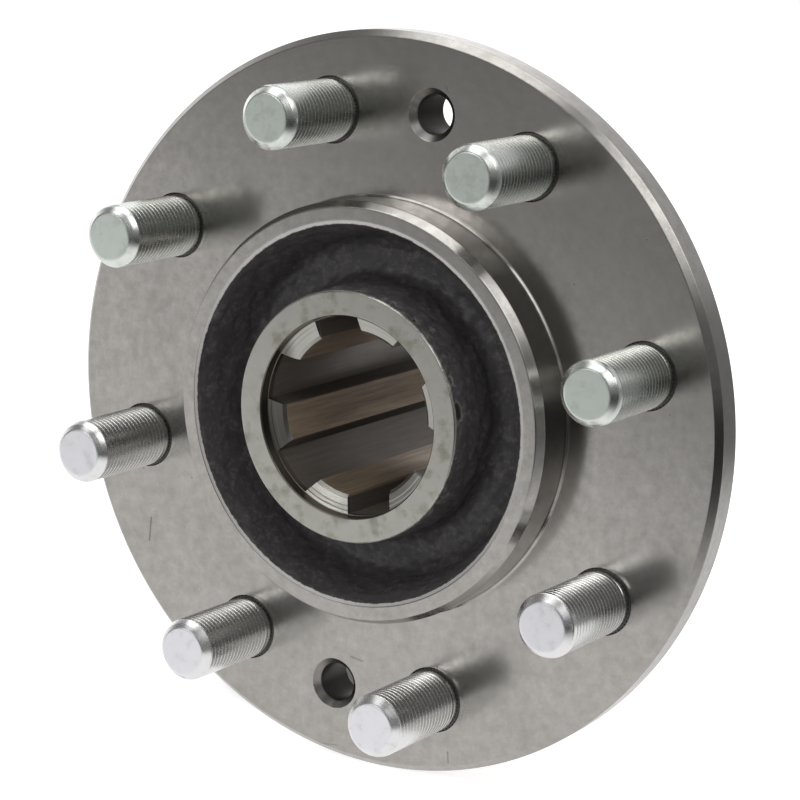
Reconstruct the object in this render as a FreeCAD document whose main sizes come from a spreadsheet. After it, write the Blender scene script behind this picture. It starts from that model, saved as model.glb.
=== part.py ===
"""Driven wheel hub with its bearing: splined flange hub, eight wheel studs, double-row taper roller bearing.

Millimetres. The spin axis is Y and +Z is up. The origin is on the axis in the plane of the wheel seat.
The wheel side faces -Y, so what stands out towards the wheel has a negative y and the barrel a positive one.
Angles round the axis are counted from +Z towards -X, anticlockwise as the wheel side is seen.
"""

import FreeCAD, Part
import math
import os

import Sketcher

SIZES = {
    "bolt_circle": 152.4,
    "flange_edge": 19.05,
    "flange_thick": 14.0,
    "rim_width": 8.2,
    "rim_chamfer": 1.65,
    "stud_count": 8,
    "stud_angle": 12.0,
    "stud_dia": 16.0,
    "stud_reach": 29.1,
    "stud_tip_chamfer": 1.9,
    "stud_head_dia": 22.5,
    "stud_head_thick": 5.0,
    "knurl_step": 0.5,
    "knurl_stand": 0.2,
    "stud_bite": 0.05,
    "stud_sink_step": 0.8,
    "puller_count": 2,
    "puller_angle": 169.5,
    "puller_hole_dia": 10.2,
    "puller_sink_step": 1.6,
    "pilot_dia": 107.5,
    "pilot_height": 13.3,
    "pilot_lead_radial": 1.4,
    "pilot_lead_axial": 2.5,
    "pilot_root": 0.5,
    "pilot_wall": 5.75,
    "pilot_inner_radial": 1.05,
    "pilot_inner_axial": 0.3,
    "recess_depth": 16.5,
    "recess_slope": 5.5,
    "recess_corner": 3.0,
    "boss_dia": 64.0,
    "boss_height": 16.8,
    "boss_edge": 0.6,
    "boss_draft": 1.0,
    "spline_count": 6,
    "spline_major_dia": 50.8,
    "spline_minor_dia": 41.7,
    "spline_groove": 12.7,
    "mouth_step": 0.2,
    "mouth_edge": 0.3,
    "mouth_depth": 3.3,
    "tooth_face_rise": 0.9,
    "tooth_edge": 0.9,
    "tail_lead_depth": 3.0,
    "neck_flare": 8.0,
    "neck_rise": 3.5,
    "shoulder_height": 6.5,
    "shoulder_rise": 6.0,
    "barrel_dia": 65.0,
    "barrel_tail": 4.0,
    "barrel_chamfer": 1.5,
    "bearing_dia": 120.0,
    "bearing_width": 46.0,
    "bearing_chamfer": 1.0,
    "race_play": 0.12,
    "race_overrun": 0.5,
    "roller_share": 0.4727,
    "roller_pitch_ratio": 1.3,
    "roller_length_share": 0.3043,
    "roller_tilt": 13.0,
    "row_share": 0.2391,
    "large_rib_height": 3.0,
    "small_rib_height": 1.3,
    "cage_thick": 1.6,
    "cage_rim": 2.0,
    "cage_side_play": 0.25,
    "cage_end_play": 0.45,
    "seal_wall_share": 0.1455,
    "seal_inset": 0.4,
    "seal_case_thick": 1.4,
    "seal_lip_thick": 2.0,
    "seal_lip_share": 0.31,
    "seal_lip_gap": 0.15,
    "clip_thick": 2.5,
    "clip_section": 5.5,
    "clip_groove_depth": 1.5,
    "clip_side_play": 0.15,
    "clip_gap": 13.0,
    "clip_lug_dia": 9.0,
    "clip_lug_hole": 2.6,
}

CUT_MARGIN = 2.0
"""How far a cutting profile reaches past the face that it cuts through."""

doc = FreeCAD.newDocument("wheel_hub_bearing")


def make_sheet():
    """The spreadsheet of driving sizes, one aliased cell each."""
    sheet = doc.addObject("Spreadsheet::Sheet", "sizes")
    for row, (name, value) in enumerate(SIZES.items(), start=1):
        sheet.set(f"A{row}", name)
        sheet.set(f"B{row}", str(value))
        sheet.setAlias(f"B{row}", name)
    doc.recompute()
    return sheet


sheet = make_sheet()


def size(expression):
    """The number that an expression on the sheet's cells gives."""
    return float(sheet.evalExpression(expression))


def half(name):
    """Expression for half of one driving size, a radius from a diameter."""
    return f"(sizes.{name} / 2)"


STUD_CIRCLE = half("bolt_circle")
FLANGE = f"({STUD_CIRCLE} + sizes.flange_edge)"
KNURL = f"({half('stud_dia')} + sizes.knurl_step)"
STUD_HOLE = f"({KNURL} - sizes.stud_bite)"
RECESS_RIM = f"({half('pilot_dia')} - sizes.pilot_wall)"
RECESS_FOOT = f"({RECESS_RIM} - sizes.recess_slope)"
SHOULDER = f"({half('barrel_dia')} + sizes.shoulder_height)"
CLIP_GROOVE = f"({half('barrel_dia')} - sizes.clip_groove_depth)"
SEAL_SEAT = f"({half('bearing_dia')} - (sizes.bearing_dia - sizes.barrel_dia) / 2 * sizes.seal_wall_share)"
BOSS_FACE = "(-sizes.boss_height)"
RECESS_FLOOR = "(sizes.recess_depth - sizes.pilot_height)"
SEAT = "(sizes.flange_thick + sizes.shoulder_rise)"
BEARING_END = f"({SEAT} + sizes.bearing_width)"
BEARING_MIDDLE = f"({SEAT} + sizes.bearing_width / 2)"
CLIP_START = f"({BEARING_END} + sizes.clip_side_play / 2)"
GROOVE_END = f"({BEARING_END} + sizes.clip_thick + sizes.clip_side_play)"
BARREL_END = f"({GROOVE_END} + sizes.barrel_tail)"
PITCH = "((sizes.barrel_dia + sizes.bearing_dia) / 4)"
ROLLER_RADIUS = "((sizes.bearing_dia - sizes.barrel_dia) / 4 * sizes.roller_share)"
ROLLER_COUNT = f"floor(pi * {PITCH} / ({ROLLER_RADIUS} * sizes.roller_pitch_ratio))"
TILT_SIN = "sin(sizes.roller_tilt * 1 deg)"
TILT_COS = "cos(sizes.roller_tilt * 1 deg)"
TAPER = f"({ROLLER_RADIUS} * {TILT_SIN} / {PITCH})"
ROLLER_LENGTH = "(sizes.bearing_width * sizes.roller_length_share)"
ROLLER_HALF = f"({ROLLER_LENGTH} / 2)"
ROW_OFFSET = "(sizes.bearing_width * sizes.row_share)"
RACE_END = f"({ROLLER_HALF} + sizes.race_overrun)"
INNER_END = f"({ROLLER_HALF} + sizes.race_play)"

OUTBOARD, INBOARD = -1, 1
SIDE_NAMES = {OUTBOARD: "outboard", INBOARD: "inboard"}


def row_point(side, along, out):
    """Corner (radius, y) in a roller row: along the roller's axis from its middle, and out from that axis."""
    radius = f"{PITCH} + ({along}) * {TILT_SIN} + ({out}) * {TILT_COS}"
    offset = f"{ROW_OFFSET} + ({along}) * {TILT_COS} - ({out}) * {TILT_SIN}"
    return radius, f"{BEARING_MIDDLE} + ({side}) * ({offset})"


def roller_radius(along):
    """Expression for the roller's radius at a place along its axis."""
    return f"({ROLLER_RADIUS} + ({along}) * {TAPER})"


def new_body(name):
    """An empty body whose label is the name of its piece."""
    body = doc.addObject("PartDesign::Body", name)
    body.Label = name
    return body


def origin_feature(body, role):
    """One of the body's own origin planes or axes."""
    return next(item for item in body.Origin.OriginFeatures if item.Role == role)


def new_sketch(body, name, role, angle=None):
    """A sketch on an origin plane of the body, turned in that plane by an angle when one is given."""
    sketch = body.newObject("Sketcher::SketchObject", name)
    sketch.AttachmentSupport = [(origin_feature(body, role), "")]
    sketch.MapMode = "FlatFace"
    if angle is not None:
        sketch.AttachmentOffset = FreeCAD.Placement(
            FreeCAD.Vector(0, 0, 0), FreeCAD.Rotation(FreeCAD.Vector(0, 0, 1), size(angle))
        )
        sketch.setExpression("AttachmentOffset.Rotation.Angle", f"({angle}) * 1 deg")
    return sketch


def bind(sketch, kind, places, expression):
    """Adds a dimension to the sketch and ties it to an expression."""
    index = sketch.addConstraint(Sketcher.Constraint(kind, *places, size(expression)))
    sketch.setExpression(f"Constraints[{index}]", f"({expression}) * 1 mm")


def polygon(sketch, corners):
    """A closed outline of straight sides, each corner tied to its two expressions."""
    points = [FreeCAD.Vector(size(x), size(y), 0) for x, y in corners]
    count = len(corners)
    first = sketch.GeometryCount
    for number in range(count):
        sketch.addGeometry(Part.LineSegment(points[number], points[(number + 1) % count]))
    for number, (x, y) in enumerate(corners):
        here = first + number
        after = first + (number + 1) % count
        sketch.addConstraint(Sketcher.Constraint("Coincident", here, 2, after, 1))
        bind(sketch, "DistanceX", (here, 1), x)
        bind(sketch, "DistanceY", (here, 1), y)


def circle(sketch, x, y, radius):
    """A circle whose centre and radius are tied to expressions."""
    centre = FreeCAD.Vector(size(x), size(y), 0)
    index = sketch.addGeometry(Part.Circle(centre, FreeCAD.Vector(0, 0, 1), size(radius)))
    bind(sketch, "DistanceX", (index, 3), x)
    bind(sketch, "DistanceY", (index, 3), y)
    bind(sketch, "Radius", (index,), radius)


def revolve(body, name, corners, cut=False):
    """Turns an outline of (radius, y) corners once round the Y axis, as material or as a cut."""
    sketch = new_sketch(body, f"{name}_outline", "XY_Plane")
    polygon(sketch, corners)
    kind = "PartDesign::Groove" if cut else "PartDesign::Revolution"
    feature = body.newObject(kind, name)
    feature.Profile = sketch
    feature.ReferenceAxis = (sketch, ["V_Axis"])
    feature.Angle = 360
    doc.recompute()
    return feature


def polar_pattern(body, name, feature, count):
    """Repeats a feature round the Y axis, as many times as an expression says."""
    pattern = body.newObject("PartDesign::PolarPattern", name)
    pattern.Originals = [feature]
    pattern.Axis = (origin_feature(body, "Y_Axis"), [""])
    pattern.Angle = 360
    pattern.Occurrences = int(size(count))
    pattern.setExpression("Occurrences", count)
    body.Tip = pattern
    doc.recompute()
    return pattern


def sunk_holes(body, name, angle, count, radius, sink_step):
    """Through holes on the bolt circle with a countersunk mouth on the wheel side."""
    sketch = new_sketch(body, f"{name}_place", "XZ_Plane", angle)
    circle(sketch, "0", STUD_CIRCLE, radius)
    doc.recompute()
    hole = body.newObject("PartDesign::Hole", name)
    hole.Profile = sketch
    hole.DepthType = "ThroughAll"
    hole.HoleCutType = "Countersink"
    hole.HoleCutCustomValues = True
    hole.setExpression("Diameter", f"2 * {radius} * 1 mm")
    hole.setExpression("HoleCutDiameter", f"2 * ({radius} + {sink_step}) * 1 mm")
    hole.HoleCutCountersinkAngle = 90
    doc.recompute()
    polar_pattern(body, f"{name}_pattern", hole, count)


def hub_corners():
    """Half section of the hub, from the boss face over the pilot ring and flange and back to the barrel."""
    return [
        (half("spline_minor_dia"), BOSS_FACE),
        (f"{half('boss_dia')} - sizes.boss_edge", BOSS_FACE),
        (half("boss_dia"), f"{BOSS_FACE} + sizes.boss_edge"),
        (f"{half('boss_dia')} + sizes.boss_draft", f"{RECESS_FLOOR} - sizes.recess_corner"),
        (f"{half('boss_dia')} + sizes.boss_draft + sizes.recess_corner", RECESS_FLOOR),
        (f"{RECESS_FOOT} - sizes.recess_corner", RECESS_FLOOR),
        (RECESS_FOOT, f"{RECESS_FLOOR} - sizes.recess_corner"),
        (RECESS_RIM, "sizes.pilot_inner_axial - sizes.pilot_height"),
        (f"{RECESS_RIM} + sizes.pilot_inner_radial", "-sizes.pilot_height"),
        (f"{half('pilot_dia')} - sizes.pilot_lead_radial", "-sizes.pilot_height"),
        (half("pilot_dia"), "sizes.pilot_lead_axial - sizes.pilot_height"),
        (half("pilot_dia"), "-sizes.pilot_root"),
        (f"{half('pilot_dia')} + sizes.pilot_root", "0"),
        (f"{FLANGE} - sizes.rim_chamfer", "0"),
        (FLANGE, "sizes.rim_chamfer"),
        (FLANGE, "sizes.rim_width"),
        (f"{FLANGE} - (sizes.flange_thick - sizes.rim_width)", "sizes.flange_thick"),
        (f"{SHOULDER} + sizes.neck_flare", "sizes.flange_thick"),
        (SHOULDER, "sizes.flange_thick + sizes.neck_rise"),
        (SHOULDER, SEAT),
        (half("barrel_dia"), SEAT),
        (half("barrel_dia"), BEARING_END),
        (CLIP_GROOVE, BEARING_END),
        (CLIP_GROOVE, GROOVE_END),
        (half("barrel_dia"), GROOVE_END),
        (half("barrel_dia"), f"{BARREL_END} - sizes.barrel_chamfer"),
        (f"{half('barrel_dia')} - sizes.barrel_chamfer", BARREL_END),
        (half("spline_minor_dia"), BARREL_END),
    ]


def cut_spline(body):
    """Straight-sided grooves along the whole bore, a groove in line with the first stud."""
    sketch = new_sketch(body, "spline_groove_outline", "XZ_Plane", "sizes.stud_angle")
    side = half("spline_groove")
    root = half("spline_major_dia")
    foot = f"{half('spline_minor_dia')} - sizes.spline_groove / 4"
    top = f"sqrt({root} ^ 2 - {side} ^ 2)"
    x, y_foot, y_top = size(side), size(foot), size(top)
    centre = FreeCAD.Vector(0, 0, 0)
    spread = math.atan2(x, y_top)
    sketch.addGeometry(Part.LineSegment(FreeCAD.Vector(-x, y_top, 0), FreeCAD.Vector(-x, y_foot, 0)))
    sketch.addGeometry(Part.LineSegment(FreeCAD.Vector(-x, y_foot, 0), FreeCAD.Vector(x, y_foot, 0)))
    sketch.addGeometry(Part.LineSegment(FreeCAD.Vector(x, y_foot, 0), FreeCAD.Vector(x, y_top, 0)))
    round_root = Part.Circle(centre, FreeCAD.Vector(0, 0, 1), size(root))
    sketch.addGeometry(Part.ArcOfCircle(round_root, math.pi / 2 - spread, math.pi / 2 + spread))
    for number in range(3):
        sketch.addConstraint(Sketcher.Constraint("Coincident", number, 2, number + 1, 1))
    sketch.addConstraint(Sketcher.Constraint("Coincident", 3, 2, 0, 1))
    sketch.addConstraint(Sketcher.Constraint("Coincident", 3, 3, -1, 1))
    bind(sketch, "Radius", (3,), root)
    for place, across, up in ((0, f"-{side}", foot), (1, side, foot)):
        bind(sketch, "DistanceX", (place, 2), across)
        bind(sketch, "DistanceY", (place, 2), up)
    bind(sketch, "DistanceX", (0, 1), f"-{side}")
    bind(sketch, "DistanceX", (2, 2), side)
    groove = body.newObject("PartDesign::Pocket", "spline_groove")
    groove.Profile = sketch
    groove.Type = "ThroughAll"
    groove.Midplane = True
    doc.recompute()
    polar_pattern(body, "spline_grooves", groove, "sizes.spline_count")


def cut_bore_ends(body):
    """Counterbored mouth that ends the teeth in sloping faces, and a lead-in at the barrel's end."""
    inside = f"{half('spline_minor_dia')} - {CUT_MARGIN}"
    mouth_wall = f"{half('spline_major_dia')} + sizes.mouth_step"
    tooth_face = f"{BOSS_FACE} + sizes.mouth_depth + sizes.tooth_face_rise"
    mouth = [
        (inside, f"{BOSS_FACE} - {CUT_MARGIN}"),
        (f"{mouth_wall} + sizes.mouth_edge + {CUT_MARGIN}", f"{BOSS_FACE} - {CUT_MARGIN}"),
        (mouth_wall, f"{BOSS_FACE} + sizes.mouth_edge"),
        (mouth_wall, f"{BOSS_FACE} + sizes.mouth_depth"),
        (f"{half('spline_minor_dia')} + sizes.tooth_edge", tooth_face),
        (half("spline_minor_dia"), f"{tooth_face} + sizes.tooth_edge"),
        (inside, f"{tooth_face} + sizes.tooth_edge"),
    ]
    revolve(body, "bore_mouth", mouth, cut=True)
    tail = [
        (inside, f"{BARREL_END} + {CUT_MARGIN}"),
        (half("spline_major_dia"), f"{BARREL_END} + {CUT_MARGIN}"),
        (half("spline_major_dia"), BARREL_END),
        (half("spline_minor_dia"), f"{BARREL_END} - sizes.tail_lead_depth"),
        (inside, f"{BARREL_END} - sizes.tail_lead_depth"),
    ]
    revolve(body, "bore_tail", tail, cut=True)


def make_hub():
    """The casting: flange, pilot ring, recess, splined boss and the barrel that carries the bearing."""
    body = new_body("hub")
    revolve(body, "hub_section", hub_corners())
    cut_spline(body)
    cut_bore_ends(body)
    sunk_holes(body, "stud_hole", "sizes.stud_angle", "sizes.stud_count", STUD_HOLE, "sizes.stud_sink_step")
    puller_hole = half("puller_hole_dia")
    puller_sink = "sizes.puller_sink_step"
    sunk_holes(body, "puller_hole", "sizes.puller_angle", "sizes.puller_count", puller_hole, puller_sink)
    return body


def make_studs():
    """Wheel studs pressed in from behind, each with its round head on the back of the flange."""
    studs = []
    count = int(size("sizes.stud_count"))
    for number in range(count):
        body = new_body(f"stud_{number + 1}")
        corners = [
            ("0", "-sizes.stud_reach"),
            (f"{half('stud_dia')} - sizes.stud_tip_chamfer", "-sizes.stud_reach"),
            (half("stud_dia"), "sizes.stud_tip_chamfer - sizes.stud_reach"),
            (half("stud_dia"), "-sizes.knurl_stand"),
            (KNURL, "-sizes.knurl_stand"),
            (KNURL, "sizes.flange_thick"),
            (half("stud_head_dia"), "sizes.flange_thick"),
            (half("stud_head_dia"), "sizes.flange_thick + sizes.stud_head_thick"),
            ("0", "sizes.flange_thick + sizes.stud_head_thick"),
        ]
        revolve(body, f"stud_{number + 1}_section", corners)
        angle = f"((sizes.stud_angle + 360 * {number} / sizes.stud_count) * 1 deg)"
        body.setExpression("Placement.Base.x", f"-{STUD_CIRCLE} * sin({angle}) * 1 mm")
        body.setExpression("Placement.Base.z", f"{STUD_CIRCLE} * cos({angle}) * 1 mm")
        studs.append(body)
    return studs


def outer_race(side):
    """Corners of one outer raceway, from the middle of the ring to its end."""
    inner_end = row_point(side, f"-{RACE_END}", f"{roller_radius('-' + RACE_END)} + sizes.race_play")
    outer_end = row_point(side, RACE_END, f"{roller_radius(RACE_END)} + sizes.race_play")
    end = f"{BEARING_MIDDLE} + ({side}) * sizes.bearing_width / 2"
    seal_step = f"{end} - ({side}) * (sizes.seal_inset + sizes.seal_case_thick)"
    return [
        inner_end,
        outer_end,
        (outer_end[0], seal_step),
        (SEAL_SEAT, seal_step),
        (SEAL_SEAT, end),
    ]


def make_outer_ring():
    """One outer ring with two raceways that open towards its ends, and a seat for a seal at each end."""
    body = new_body("bearing_outer_ring")
    outside = [
        (f"{half('bearing_dia')} - sizes.bearing_chamfer", BEARING_END),
        (half("bearing_dia"), f"{BEARING_END} - sizes.bearing_chamfer"),
        (half("bearing_dia"), f"{SEAT} + sizes.bearing_chamfer"),
        (f"{half('bearing_dia')} - sizes.bearing_chamfer", SEAT),
    ]
    corners = outer_race(INBOARD) + outside + outer_race(OUTBOARD)[::-1]
    revolve(body, "outer_ring_section", corners)
    return body


def rib_out(along, height):
    """How far the top of an inner ring's rib lies inside the roller's axis."""
    return f"({height}) - {roller_radius(along)}"


def make_inner_ring(side):
    """Inner ring of one row: its raceway between a small rib in the middle and a large rib at the end."""
    body = new_body(f"bearing_inner_ring_{SIDE_NAMES[side]}")
    end = f"{BEARING_MIDDLE} + ({side}) * sizes.bearing_width / 2"
    small_foot = row_point(side, f"-{INNER_END}", f"-({roller_radius('-' + INNER_END)}) - sizes.race_play")
    small_top = row_point(side, f"-{INNER_END}", rib_out(f"-{INNER_END}", "sizes.small_rib_height"))
    large_foot = row_point(side, INNER_END, f"-({roller_radius(INNER_END)}) - sizes.race_play")
    large_top = row_point(side, INNER_END, rib_out(INNER_END, "sizes.large_rib_height"))
    corners = [
        (half("barrel_dia"), BEARING_MIDDLE),
        (small_top[0], BEARING_MIDDLE),
        small_top,
        small_foot,
        large_foot,
        large_top,
        (large_top[0], end),
        (half("barrel_dia"), end),
    ]
    revolve(body, f"inner_ring_{SIDE_NAMES[side]}_section", corners)
    return body


def make_rollers(side):
    """One row of taper rollers, each lying on the cone whose tip is on the spin axis."""
    name = f"rollers_{SIDE_NAMES[side]}"
    count = int(size(ROLLER_COUNT))
    foot = row_point(side, f"-{ROLLER_HALF}", "0")
    foot_radius, foot_y = size(foot[0]), size(foot[1])
    tilt = math.radians(size("sizes.roller_tilt"))
    cones = []
    for number in range(count):
        cone = doc.addObject("Part::Cone", f"{name}_{number + 1}")
        cone.setExpression("Radius1", f"{roller_radius('-' + ROLLER_HALF)} * 1 mm")
        cone.setExpression("Radius2", f"{roller_radius(ROLLER_HALF)} * 1 mm")
        cone.setExpression("Height", f"{ROLLER_LENGTH} * 1 mm")
        angle = 2 * math.pi * number / count
        outward = FreeCAD.Vector(math.cos(angle), 0, math.sin(angle))
        along = outward * math.sin(tilt) + FreeCAD.Vector(0, side * math.cos(tilt), 0)
        turn = FreeCAD.Rotation(FreeCAD.Vector(0, 0, 1), along)
        cone.Placement = FreeCAD.Placement(outward * foot_radius + FreeCAD.Vector(0, foot_y, 0), turn)
        cones.append(cone)
    row = doc.addObject("Part::Compound", name)
    row.Label = name
    row.Links = cones
    doc.recompute()
    return row


def make_cage(side):
    """Pressed cage of one row: a conical band with a window for each roller."""
    name = f"cage_{SIDE_NAMES[side]}"
    body = new_body(name)
    reach = f"({ROLLER_HALF} + sizes.cage_rim)"
    skin = half("cage_thick")
    corners = [
        row_point(side, f"-{reach}", skin),
        row_point(side, reach, skin),
        row_point(side, reach, f"-{skin}"),
        row_point(side, f"-{reach}", f"-{skin}"),
    ]
    revolve(body, f"{name}_band", corners)
    window_end = f"({ROLLER_HALF} + sizes.cage_end_play)"
    near = row_point(side, f"-{window_end}", "0")[1]
    far = row_point(side, window_end, "0")[1]
    near_half = f"({roller_radius('-' + window_end)} + sizes.cage_side_play)"
    far_half = f"({roller_radius(window_end)} + sizes.cage_side_play)"
    sketch = new_sketch(body, f"{name}_window_outline", "YZ_Plane")
    polygon(sketch, [(near, f"-{near_half}"), (far, f"-{far_half}"), (far, far_half), (near, near_half)])
    window = body.newObject("PartDesign::Pocket", f"{name}_window")
    window.Profile = sketch
    window.Type = "ThroughAll"
    window.Reversed = True
    doc.recompute()
    polar_pattern(body, f"{name}_windows", window, ROLLER_COUNT)
    return body


def make_seal(side):
    """Seal of one end: the steel case in the outer ring and the rubber lip that runs on the inner ring."""
    end = f"{BEARING_MIDDLE} + ({side}) * (sizes.bearing_width / 2 - sizes.seal_inset)"
    case_back = f"{end} - ({side}) * sizes.seal_case_thick"
    lip_back = f"{end} - ({side}) * sizes.seal_lip_thick"
    rib_radius = row_point(side, INNER_END, rib_out(INNER_END, "sizes.large_rib_height"))[0]
    lip_edge = f"{rib_radius} + sizes.seal_lip_gap"
    lip_root = f"{lip_edge} + ({SEAL_SEAT} - ({lip_edge})) * sizes.seal_lip_share"
    pieces = []
    for part, inner, outer, back in (
        ("case", lip_root, SEAL_SEAT, case_back),
        ("lip", lip_edge, lip_root, lip_back),
    ):
        name = f"seal_{part}_{SIDE_NAMES[side]}"
        body = new_body(name)
        revolve(body, f"{name}_section", [(inner, end), (outer, end), (outer, back), (inner, back)])
        pieces.append(body)
    return pieces


def make_retaining_ring():
    """Open spring ring in the barrel's groove, with an eyed lug at each side of its gap."""
    body = new_body("retaining_ring")
    inner = f"({CLIP_GROOVE} + sizes.clip_side_play)"
    outer = f"({inner} + sizes.clip_section)"
    lug_place = f"({inner} + sizes.clip_lug_dia / 2)"
    lug_across = "(sizes.clip_gap / 2 + sizes.clip_lug_dia / 2)"
    lug_up = f"sqrt({lug_place} ^ 2 - {lug_across} ^ 2)"

    def pad(name, outlines):
        sketch = new_sketch(body, f"{name}_outline", "XZ_Plane")
        sketch.setExpression("AttachmentOffset.Base.z", f"-({CLIP_START}) * 1 mm")
        for outline in outlines:
            circle(sketch, *outline)
        feature = body.newObject("PartDesign::Pad", name)
        feature.Profile = sketch
        feature.setExpression("Length", "sizes.clip_thick * 1 mm")
        feature.Reversed = True
        doc.recompute()

    pad("clip_band", [("0", "0", outer), ("0", "0", inner)])
    lugs = [("-" + lug_across, lug_up), (lug_across, lug_up)]
    pad("clip_lugs", [(x, y, half("clip_lug_dia")) for x, y in lugs])
    eyes = new_sketch(body, "clip_eye_outline", "XZ_Plane")
    for x, y in lugs:
        circle(eyes, x, y, half("clip_lug_hole"))
    gap = new_sketch(body, "clip_gap_outline", "XZ_Plane")
    high = f"({outer} + sizes.clip_lug_dia)"
    polygon(gap, [
        (f"-{half('clip_gap')}", "0"),
        (half("clip_gap"), "0"),
        (half("clip_gap"), high),
        (f"-{half('clip_gap')}", high),
    ])
    bore = new_sketch(body, "clip_bore_outline", "XZ_Plane")
    circle(bore, "0", "0", inner)
    for name, sketch in (("clip_eyes", eyes), ("clip_gap_cut", gap), ("clip_bore", bore)):
        cut = body.newObject("PartDesign::Pocket", name)
        cut.Profile = sketch
        cut.Type = "ThroughAll"
        cut.Midplane = True
        doc.recompute()
    return body


def make_all():
    """Every piece of the hub bearing, in order from the wheel side."""
    pieces = [make_hub()]
    pieces += make_studs()
    pieces.append(make_outer_ring())
    for side in (OUTBOARD, INBOARD):
        pieces.append(make_inner_ring(side))
        pieces.append(make_rollers(side))
        pieces.append(make_cage(side))
        pieces += make_seal(side)
    pieces.append(make_retaining_ring())
    return pieces


def check(pieces):
    """Stops the build when a feature failed or a piece isn't a sound solid."""
    for item in doc.Objects:
        if "Invalid" in item.State or "Error" in item.State:
            raise RuntimeError(f"{item.Name} failed: {item.State}")
    for piece in pieces:
        shape = piece.Shape
        if shape.isNull() or not shape.isValid() or not shape.Solids:
            raise RuntimeError(f"{piece.Label} has no sound solid")


def export(pieces):
    """Writes each piece to its own file."""
    os.makedirs("parts", exist_ok=True)
    for piece in pieces:
        piece.Shape.exportStep(f"parts/{piece.Label}.step")
        print(f"{piece.Label}: {len(piece.Shape.Solids)} solid(s), {piece.Shape.Volume / 1000:.2f} cm3")


pieces = make_all()
doc.recompute()
check(pieces)
export(pieces)
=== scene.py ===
"""Looks of the driven wheel hub: turned iron hub, zinc plated studs, and the bearing behind the flange.

Row frame: the spin axis is Y, the wheel side faces -Y, +Z is up and the origin is on the axis in the wheel
seat's plane. Sizes are written in millimetres and turned into metres where a mesh is made.
"""

from __future__ import annotations

import logging
import math
from dataclasses import dataclass
from enum import Enum
from typing import Callable, Iterable, Sequence

import bmesh
import bpy
import numpy as np
from mathutils import Matrix, Vector, noise


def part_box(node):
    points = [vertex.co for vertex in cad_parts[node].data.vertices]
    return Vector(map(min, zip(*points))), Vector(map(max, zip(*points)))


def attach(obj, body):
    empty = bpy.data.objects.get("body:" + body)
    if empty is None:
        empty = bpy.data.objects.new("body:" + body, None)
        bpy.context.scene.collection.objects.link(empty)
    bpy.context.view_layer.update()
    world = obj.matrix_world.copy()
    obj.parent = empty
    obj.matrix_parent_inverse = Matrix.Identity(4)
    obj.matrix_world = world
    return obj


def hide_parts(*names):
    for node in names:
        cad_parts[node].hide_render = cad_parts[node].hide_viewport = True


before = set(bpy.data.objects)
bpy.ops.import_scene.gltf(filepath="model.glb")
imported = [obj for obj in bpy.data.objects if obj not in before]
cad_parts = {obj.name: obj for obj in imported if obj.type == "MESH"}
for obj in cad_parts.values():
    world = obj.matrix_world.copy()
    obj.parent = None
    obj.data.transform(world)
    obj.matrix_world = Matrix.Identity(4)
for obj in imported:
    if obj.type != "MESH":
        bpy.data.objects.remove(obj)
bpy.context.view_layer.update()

MM = 0.001
"""Metres in a millimetre."""

LOG = logging.getLogger("hub")

Colour = tuple[float, float, float]
Point = tuple[float, float, float]
Span = tuple[float, float]
Shell = tuple[np.ndarray, list[list[int]]]
Node = bpy.types.Node
Socket = bpy.types.NodeSocket
Object = bpy.types.Object


class Surface(Enum):
    """How a stretch of the hub's section was left by its maker."""

    TURNED = 0.0
    CAST = 1.0


class Number:
    """A number on a shader link. Arithmetic on it adds Math nodes."""

    def __init__(self, graph: Graph, socket: Socket) -> None:
        """Wraps one output socket of a graph."""
        self.graph = graph
        self.socket = socket

    def math(self, operation: str, *others: Number | float, clamp: bool = False) -> Number:
        """One Math node on this number.

        Args:
            operation: the Math node's operation.
            others: the operation's other values.
            clamp: whether the result is kept between 0 and 1.

        Returns:
            The node's result.
        """
        values = dict(enumerate((self, *others)))
        settings = {"operation": operation, "use_clamp": clamp}
        return self.graph.number("ShaderNodeMath", settings, values)

    def __add__(self, other: Number | float) -> Number:
        """Sum."""
        return self.math("ADD", other)

    __radd__ = __add__

    def __sub__(self, other: Number | float) -> Number:
        """Difference."""
        return self.math("SUBTRACT", other)

    def __rsub__(self, other: float) -> Number:
        """Difference from a plain number."""
        return self.graph.number("ShaderNodeMath", {"operation": "SUBTRACT"}, {0: other, 1: self})

    def __mul__(self, other: Number | float) -> Number:
        """Product."""
        return self.math("MULTIPLY", other)

    __rmul__ = __mul__

    def __truediv__(self, other: Number | float) -> Number:
        """Quotient."""
        return self.math("DIVIDE", other)

    def clamped(self) -> Number:
        """This number kept between 0 and 1."""
        return self.math("ADD", 0.0, clamp=True)

    def between(self, low: float, high: float) -> Number:
        """Smooth step.

        Args:
            low: where the step gives 0. It may be the larger of the two.
            high: where the step gives 1.

        Returns:
            A number from 0 to 1.
        """
        ramp = ((self - low) * (1.0 / (high - low))).clamped()
        return ramp * ramp * (3.0 - 2.0 * ramp)

    def band(self, middle: float, reach: float, soft: float) -> Number:
        """1 within reach of a middle value, falling to 0 over a soft width."""
        return (self - middle).math("ABSOLUTE").between(reach + soft, reach)


Input = Number | Socket | float | Sequence[float] | None
Settings = dict[str, object] | None
Inputs = dict[int | str, Input] | None


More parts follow.
